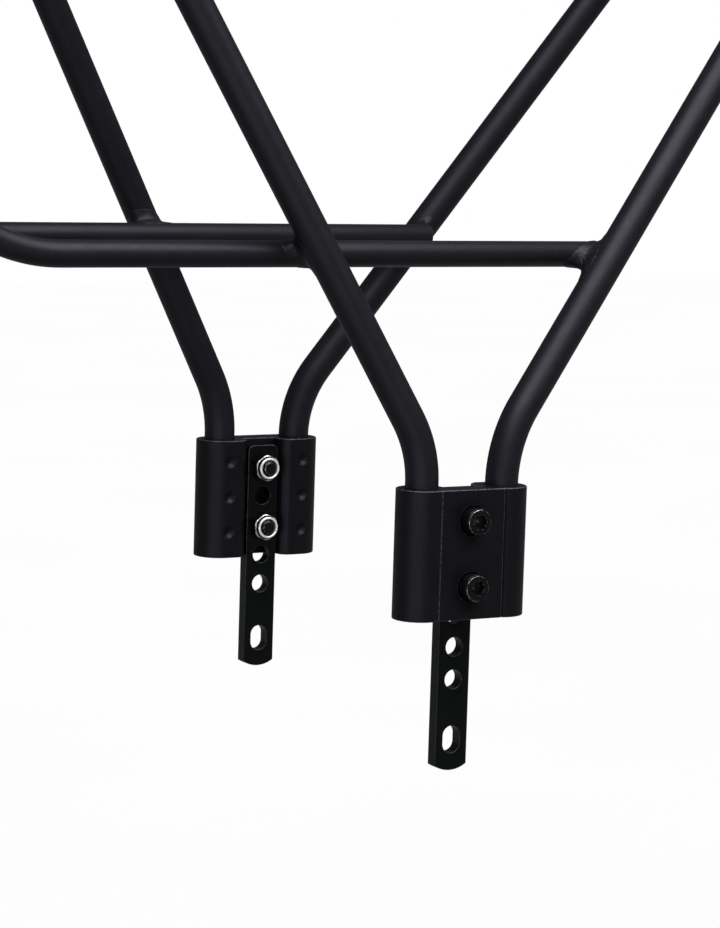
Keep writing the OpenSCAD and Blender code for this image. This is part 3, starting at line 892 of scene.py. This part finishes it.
WALL = 1.5
LEG_BEND_R = 46.0
RAIL_BEND_R = 60.0
RAIL_BEND_X = -150.0
RAIL_TAIL_TURN = math.radians(16)
LEG_FOOT = BLOCK_BOTTOM + 1
rail_low, rail_high = box_mm("left_lower_rail")
RAIL_FRONT, RAIL_Y, RAIL_Z = rail_high[0], rail_high[1] - RAIL_R, rail_low[2] + RAIL_R
HOOP_R = 34.0
HOOP_X = box_mm("tail_hoop")[0][0] + LEG_R


def unit(v):
    """A vector of length one."""
    return v / np.linalg.norm(v)


def bent(start, corner, end, radius, steps=56):
    """Points of a path from start to end with its corner rounded."""
    start, corner, end = (np.array(p, float) for p in (start, corner, end))
    u, w = unit(start - corner), unit(end - corner)
    turn = math.pi - math.acos(u @ w)
    reach = radius * math.tan(turn / 2)
    centre = corner + unit(u + w) * radius / math.cos(turn / 2)
    one = corner + u * reach - centre
    side = unit(np.cross(np.cross(one, corner + w * reach - centre), one)) * radius
    angles = np.linspace(0, turn, steps + 1)
    bend = [centre + one * math.cos(a) + side * math.sin(a) for a in angles]
    return [start, *bend, end]


def into_deck(q, t):
    """A point moved along t on to the skin of the left deck rail."""
    off = np.array((q[1] - DECK_Y, q[2] - DECK_Z))
    run = np.array((t[1], t[2]))
    a, b, c = run @ run, off @ run, off @ off - (LEG_R - 0.2) ** 2
    root = math.sqrt(max(0.0, b * b - a * c))
    return q + t * (-b - root) / a


def tangents_of(path):
    """The direction at each point of a path, whose first and last two points lie on straight runs."""
    tangents = [unit(path[min(i + 1, len(path) - 1)] - path[max(i - 1, 0)]) for i in range(len(path))]
    tangents[0], tangents[-1] = unit(path[1] - path[0]), unit(path[-1] - path[-2])
    if len(path) > 2:
        tangents[1], tangents[-2] = tangents[0], tangents[-1]
    return tangents


def close_end(shell, ring):
    """A flat end: triangles from a ring to its middle."""
    hub = shell.add([tuple(np.mean([shell.points[n] for n in ring], axis=0))])[0]
    for k in range(len(ring)):
        shell.flat.add(len(shell.faces))
        shell.faces.append((ring[k], ring[(k + 1) % len(ring)], hub))


def sweep(path, radius, bore=0.0, end=None, start=None, count=72, tip=0.0):
    """A tube or rod along a path. end and start may move the points of the last and first ring."""
    shell = Shell()
    path = [np.array(p, float) for p in path]
    tangents = tangents_of(path)
    normal = unit(np.cross(tangents[0], (0.0, 1.0, 0.0) if abs(tangents[0][1]) < 0.9 else (1.0, 0, 0)))
    frames = []
    for t in tangents:
        normal = unit(normal - t * (normal @ t))
        frames.append((normal, np.cross(t, normal)))

    def ring(i, r, wear_and_highlight=0.0, slide=0.0):
        n, b = frames[i]
        points = []
        for a in (2 * math.pi * k / count for k in range(count)):
            q = path[i] + tangents[i] * slide + r * (math.cos(a) * n + math.sin(a) * b)
            if i == len(path) - 1 and end:
                q = end(q, tangents[i])
            if i == 0 and start:
                q = start(q, -tangents[i])
            points.append(q)
        return shell.add(points, wear_and_highlight)

    rows = [ring(i, radius) for i in range(len(path))]
    if tip:
        # The edge ring of the rounded tip gets the full rim mark: rubbing plus a painted edge highlight
        foot = [ring(0, radius - tip, 0.0), ring(0, radius - tip * 0.3, 1.0, tip * 0.3)]
        rows = foot + [ring(0, radius, 0.0, tip)] + rows[1:]
    if bore:
        rows += [ring(i, bore) for i in reversed(range(len(path)))]
        rows.append(rows[0])
    shell.stack(rows)
    if not bore:
        close_end(shell, rows[0])
        close_end(shell, rows[-1])
    return shell


def tube_piece(shell, name, side, stands_for):
    """A swept shell as a coated piece of the rack, built on the left."""
    shell.piece(name, "rack", "coat", mirrored(side), stands_for)


def leg_path(sign, lean, corner):
    """The centre line of a leg of the left side frame."""
    x, z = sign * BORE_X, BLOCK_TOP + corner
    top = (x + sign * lean * (DECK_Z - z), DECK_Y, DECK_Z)
    return bent((x, BORE_Y, LEG_FOOT), (x, BORE_Y, z), top, LEG_BEND_R)


def rail_path():
    """The centre line of the left lower rail, up to the deck rail."""
    corner_x = RAIL_BEND_X - RAIL_BEND_R * math.tan((math.pi / 2 + RAIL_TAIL_TURN) / 2)
    top = (corner_x + (DECK_Z - RAIL_Z) * math.tan(RAIL_TAIL_TURN), DECK_Y, DECK_Z)
    return bent((RAIL_FRONT, RAIL_Y, RAIL_Z), (corner_x, RAIL_Y, RAIL_Z), top, RAIL_BEND_R)


LEGS = {"front": leg_path(1, FRONT_LEAN, FRONT_CORNER), "rear": leg_path(-1, REAR_LEAN, REAR_CORNER)}
CROSS_RODS = {node: RUNG_R for node in nodes if node.startswith("rung_")} | {"front_cross_tube": CROSS_R}


def coped(q, t):
    """A point at an end of a cross rod, moved on to the skin of the nearer deck rail."""
    near = into_deck(np.array((q[0], abs(q[1]), q[2])), np.array((0, 1.0, 0)))
    return np.array((q[0], math.copysign(near[1], t[1]), q[2]))


def side_tubes():
    """The legs, lower rails and deck rails."""
    bore = LEG_R - WALL
    for name, side in SIDES.items():
        for which, path in LEGS.items():
            shell = sweep(path, LEG_R, bore, end=into_deck)
            tube_piece(shell, f"{name}_{which}_leg_tube", side, [f"{name}_{which}_leg"])
        shell = sweep(rail_path(), RAIL_R, end=into_deck, tip=0.5)
        tube_piece(shell, f"{name}_lower_rail_rod", side, [f"{name}_lower_rail"])
        shell = sweep([(DECK_REAR, DECK_Y, DECK_Z), (DECK_FRONT, DECK_Y, DECK_Z)], LEG_R, bore)
        tube_piece(shell, f"{name}_deck_rail_tube", side, [f"{name}_deck_rail"])


def cross_tubes():
    """The tail hoop, the rungs and the front cross tube."""
    straight = DECK_Y - HOOP_R
    turn = np.linspace(0, math.pi / 2, 40)
    bend = [(HOOP_X + HOOP_R * (1 - math.sin(a)), straight + HOOP_R * math.cos(a), DECK_Z) for a in turn]
    path = [(DECK_REAR, DECK_Y, DECK_Z)] + bend
    path += [(x, -y, z) for x, y, z in path[::-1]]
    tube_piece(sweep(path, LEG_R, LEG_R - WALL), "tail_hoop_tube", LEFT, ["tail_hoop"])
    for node, radius in CROSS_RODS.items():
        x, _, z = middle(node)
        path = [(x, -DECK_Y, z), (x, 0, z), (x, DECK_Y, z)]
        tube_piece(sweep(path, radius, end=coped, start=coped), f"{node}_rod", LEFT, [node])


# ---- welds ----

NET_STEP = 0.5
WELD_RISE = 0.22
BEAD_R = 1.3
ROD_STOP = 3.5
WELD_SINK = 0.06
WELD_EDGE = 0.93
WELD_RAMP = 0.14
FILLET_BLEND = 8
RIPPLES, RIPPLE_SIZE = 12, 0.07
WELD_DROP = 5
BEAD_OFF = 0.2
BEAD_WAVE, BEAD_PERIOD = 0.12, 5
LEG_RAIL_REACH = 16
DECK_WELDS = {"leg": (14, 5), "rail": (11, 4), "rung": (9, 3.6)}
RAIL_FILLETS = {"front": (6.4, 9.0), "rear": (6.5, 7.0)}


def soft_union(a, b, k):
    """The union of two fields with a fillet about k wide where they meet."""
    h = np.maximum(k - np.abs(a - b), 0) / k
    return np.minimum(a, b) - h * h * k / 4


def rod_field(points, one, two, radius, capped=False):
    """Distance of points to the skin of a rod, endless or ending flat at its first point."""
    axis = unit(np.array(two, float) - np.array(one, float))
    off = points - np.array(one, float)
    along = off @ axis
    skin = np.linalg.norm(off - along[..., None] * axis, axis=-1) - radius
    if not capped:
        return skin
    return np.minimum(np.maximum(skin, -along), 0) + np.hypot(np.maximum(skin, 0), np.maximum(-along, 0))


def onto_zero(field, points, step):
    """Points moved along the slope of a field until it is about zero there."""
    for _ in range(4):
        here = field(points)
        slope = np.stack([field(points + d) - field(points - d) for d in np.eye(3) * 0.02], -1) / 0.04
        size = np.maximum((slope**2).sum(-1), 0.2)
        move = -slope * (here / size)[..., None]
        length = np.linalg.norm(move, axis=-1, keepdims=True)
        points = points + move * np.minimum(1, step * 0.6 / np.maximum(length, 1e-9))
    return points


def cell_quads(solid, index):
    """A quad of cells round each grid edge that crosses a skin."""
    sizes = solid.shape
    quads = []
    for axis in range(3):
        a, b = [d for d in range(3) if d != axis]
        for cell in np.argwhere(np.diff(solid, axis=axis)):
            if cell[a] < 1 or cell[b] < 1 or cell[a] >= sizes[a] - 1 or cell[b] >= sizes[b] - 1:
                continue
            around = []
            for da, db in ((1, 1), (0, 1), (0, 0), (1, 0)):
                near = cell.copy()
                near[[a, b]] -= (da, db)
                around.append(int(index[tuple(near)]))
            quads.append(around)
    return quads


def net(field, low, high, step=NET_STEP):
    """The surface where a field is zero, as vertices and quads, by surface nets."""

    def clipped(p):
        edge = np.minimum(p - low, high - p).min(-1) - step * 1.5
        return np.maximum(field(p), -edge)

    low, high = np.array(low, float), np.array(high, float)
    sizes = np.ceil((high - low) / step).astype(int) + 1
    grid = np.stack(np.meshgrid(*[low[i] + step * np.arange(sizes[i]) for i in range(3)], indexing="ij"), -1)
    solid = clipped(grid) < 0
    corners = [solid[i:sizes[0] - 1 + i, j:sizes[1] - 1 + j, k:sizes[2] - 1 + k]
               for i in (0, 1) for j in (0, 1) for k in (0, 1)]
    total = sum(c.astype(int) for c in corners)
    active = (total > 0) & (total < 8)
    index = np.full(active.shape, -1)
    index[active] = np.arange(active.sum())
    points = low + (np.argwhere(active) + 0.5) * step
    return onto_zero(clipped, points, step), cell_quads(solid, index)


def ripple(points, centre, axis):
    """Soft ridges round an axis, as a welder lays them."""
    axis = unit(np.array(axis, float))
    first = unit(np.cross(axis, (0.3, 0.5, 0.81)))
    second = np.cross(axis, first)
    off = points - np.array(centre, float)
    angle = np.arctan2(off @ second, off @ first)
    return RIPPLE_SIZE * np.cos(angle * RIPPLES)


def weld(name, side, one, two, spot, reach, k, k_below=None):
    """A raised fillet where two rods cross near a spot. k_below is its size on the lower side."""
    spot = np.array(spot, float)
    axis = np.array(two[1], float) - np.array(two[0], float)
    extra = (k_below or k) - k

    def field(p):
        a, b = rod_field(p, *one), rod_field(p, *two)
        size = k + extra * np.clip(0.5 + (spot[2] - p[..., 2]) / FILLET_BLEND, 0, 1)
        near = np.clip(1 - np.abs(a - b) / size, 0, 1)
        raised = WELD_RISE * np.clip((near - 1 + WELD_EDGE) / WELD_RAMP, 0, 1)
        made = soft_union(a, b, size) + WELD_SINK - raised + near * ripple(p, spot, axis)
        edge = np.abs(a - b) - size * WELD_EDGE
        ball = np.linalg.norm(p - spot, axis=-1) - reach
        above = p[..., 2] - DECK_Z - LEG_R + 0.05
        return np.maximum.reduce([made, edge, ball, above])

    points, quads = net(field, spot - reach - 1.5, spot + reach + 1.5)
    bm = bmesh.new()
    verts = [bm.verts.new(Vector((x, side * y, z)) * MM) for x, y, z in points]
    for quad in quads:
        if len(set(quad)) == 4 and min(quad) >= 0:
            bm.faces.new([verts[i] for i in quad])
    bmesh.ops.delete(bm, geom=[v for v in bm.verts if not v.link_faces], context="VERTS")
    bmesh.ops.recalc_face_normals(bm, faces=bm.faces)
    for face in bm.faces:
        face.smooth = True
    mesh = bpy.data.meshes.new(name)
    bm.to_mesh(mesh)
    bm.free()
    piece_of(mesh, name, "rack", "coat", crease=60)


def stopped(end, start, radius):
    """A rod that comes from start and stops inside the deck rail, just short of end."""
    return end + unit(start - end) * ROD_STOP, start, radius, True


def bead(name, side, path):
    """A thin rippled weld bead along a path."""
    waves = [BEAD_WAVE * math.cos(2 * math.pi * i / BEAD_PERIOD) for i in range(len(path))]
    rippled = [(x, y, z - wave) for (x, y, z), wave in zip(path, waves)]
    tube_piece(sweep(rippled, BEAD_R, count=20), name, side, ())


def frame_welds():
    """The fillets between the legs, the lower rails and the deck rails."""
    deck = ((DECK_FRONT, DECK_Y, DECK_Z), (DECK_REAR, DECK_Y, DECK_Z), LEG_R, True)
    rail = rail_path()
    low_rail = (rail[0], rail[1], RAIL_R, True)
    for name, side in SIDES.items():
        for which, path in LEGS.items():
            low, top = path[-2:]
            cross = low + (top - low) * (RAIL_Z - low[2]) / (top[2] - low[2])
            spot = (cross[0], (cross[1] + RAIL_Y) / 2, RAIL_Z)
            start = f"{name}_{which}"
            weld(f"{start}_leg_rail_weld", side, (low, top, LEG_R), low_rail, spot,
                 LEG_RAIL_REACH, *RAIL_FILLETS[which])
            spot = (top[0], DECK_Y, DECK_Z - WELD_DROP)
            weld(f"{start}_leg_deck_weld", side, deck, stopped(top, low, LEG_R), spot, *DECK_WELDS["leg"])
        spot = (rail[-1][0], DECK_Y, DECK_Z - WELD_DROP)
        weld(f"{name}_rail_tail_weld", side, deck, stopped(rail[-1], rail[-2], RAIL_R), spot,
             *DECK_WELDS["rail"])
        for node, radius in CROSS_RODS.items():
            x, _, z = middle(node)
            rod = stopped(np.array((x, DECK_Y, z)), np.array((x, 0, z)), radius)
            weld(f"{name}_{node}_weld", side, deck, rod, (x, DECK_Y - LEG_R, z), *DECK_WELDS["rung"])


def deck_welds():
    """The beads that hold the stay lugs and the light bracket."""
    px, _ = PIVOT
    reach = CROSS_R + 0.3
    turns = np.radians(np.linspace(-172, -8, 40))
    path = [(px + reach * math.cos(t), LUG_Y - BEAD_OFF, DECK_Z + reach * math.sin(t)) for t in turns]
    for name, side in SIDES.items():
        bead(f"{name}_lug_weld", side, path)
    low, high = box_mm("light_bracket")
    half = BRACKET_NECK - 1
    for which, x in (("front", high[0] + BEAD_OFF), ("rear", low[0] - BEAD_OFF)):
        path = [(x, y, DECK_Z - BRACKET_TOP_GAP - 0.5) for y in np.linspace(-half, half, 60)]
        bead(f"bracket_{which}_weld", LEFT, path)


# ---- build ----

for side_name, side_sign in SIDES.items():
    block(side_name, side_sign)
    plate(side_name, side_sign)
    stay(side_name, side_sign)
    lug(side_name, side_sign)
    end_plug(side_name, side_sign)
fasteners()
light_bracket()
side_tubes()
cross_tubes()
frame_welds()
deck_welds()

# ---- light, floor and camera ----

LIGHT_TARGET = (0.0, 0.0, 0.18)
FLOOR_DROP = 0.25
CAMERA_AT = (-0.57506, -0.99622, 0.22508)
CAMERA_HEADING, CAMERA_DIP, CAMERA_ROLL = -30.1248, 6.9307, 1.7778
LENS = 118.3


def area(name, direction, distance, size, radiance):
    """A soft rectangular lamp in a direction from the middle of the rack."""
    data = bpy.data.lights.new(name, "AREA")
    data.shape = "RECTANGLE"
    data.size, data.size_y = size
    data.energy = radiance * math.pi * size[0] * size[1]
    lamp = bpy.data.objects.new(name, data)
    towards = Vector(direction).normalized()
    lamp.location = Vector(LIGHT_TARGET) + towards * distance
    lamp.rotation_euler = (-towards).to_track_quat("-Z", "Y").to_euler()
    scene.collection.objects.link(lamp)


def make_lights():
    """A wide lamp overhead and a weaker one low on the left."""
    area("overhead", direction=(0.02, -0.5, 0.86), distance=1.3, size=(2.0, 1.3), radiance=6.2)
    area("left_front", direction=(-0.62, -0.7, -0.42), distance=1.6, size=(2.0, 1.2), radiance=2.5)


def make_world():
    """A dim studio that the camera sees as white."""
    world = bpy.data.worlds.new("studio")
    world.use_nodes = True
    tree = world.node_tree
    tree.nodes.clear()
    path = add(tree, "LightPath").outputs["Is Camera Ray"]
    colour = blended(tree, path, (0.12, 0.12, 0.13), (1.0, 1.0, 1.0))
    back = add(tree, "Background", Color=colour, Strength=1.0)
    add(tree, "OutputWorld", Surface=back.outputs[0])
    scene.world = world


def make_floor():
    """A large pale floor below the rack."""
    bm = bmesh.new()
    bmesh.ops.create_grid(bm, x_segments=8, y_segments=8, size=6.0)
    mesh = bpy.data.meshes.new("floor")
    bm.to_mesh(mesh)
    bm.free()
    floor = bpy.data.objects.new("floor", mesh)
    floor.location = (0, 0, cad_box[0][2] - FLOOR_DROP)
    made = bpy.data.materials.new("pale_floor")
    made.use_nodes = True
    tree = made.node_tree
    tree.nodes.clear()
    coords = add(tree, "TexCoord").outputs["Object"]
    clouds = noise(tree, coords, 400, 2)
    colour = blended(tree, clouds, (0.97, 0.97, 0.97), (1.0, 1.0, 1.0))
    seen = add(tree, "LightPath").outputs["Is Camera Ray"]
    glow = add(tree, "Emission", Color=colour, Strength=span(tree, seen, 0, 1, 0.3, 1.0))
    add(tree, "OutputMaterial", Surface=glow.outputs[0])
    mesh.materials.append(made)
    floor.visible_diffuse = False
    scene.collection.objects.link(floor)


def make_camera():
    """The photo's view. The angles are in degrees."""
    data = bpy.data.cameras.new("camera")
    data.sensor_width = 36.0
    data.lens = LENS
    data.clip_start = 0.01
    cam = bpy.data.objects.new("camera", data)
    turns = ((CAMERA_HEADING, "Z"), (90 - CAMERA_DIP, "X"), (CAMERA_ROLL, "Z"))
    matrix = Matrix.Translation(CAMERA_AT)
    for angle, axis in turns:
        matrix = matrix @ Matrix.Rotation(math.radians(angle), 4, axis)
    cam.matrix_world = matrix
    scene.collection.objects.link(cam)
    scene.camera = cam


scene.view_settings.view_transform = "Standard"
make_lights()
make_world()
make_floor()
make_camera()
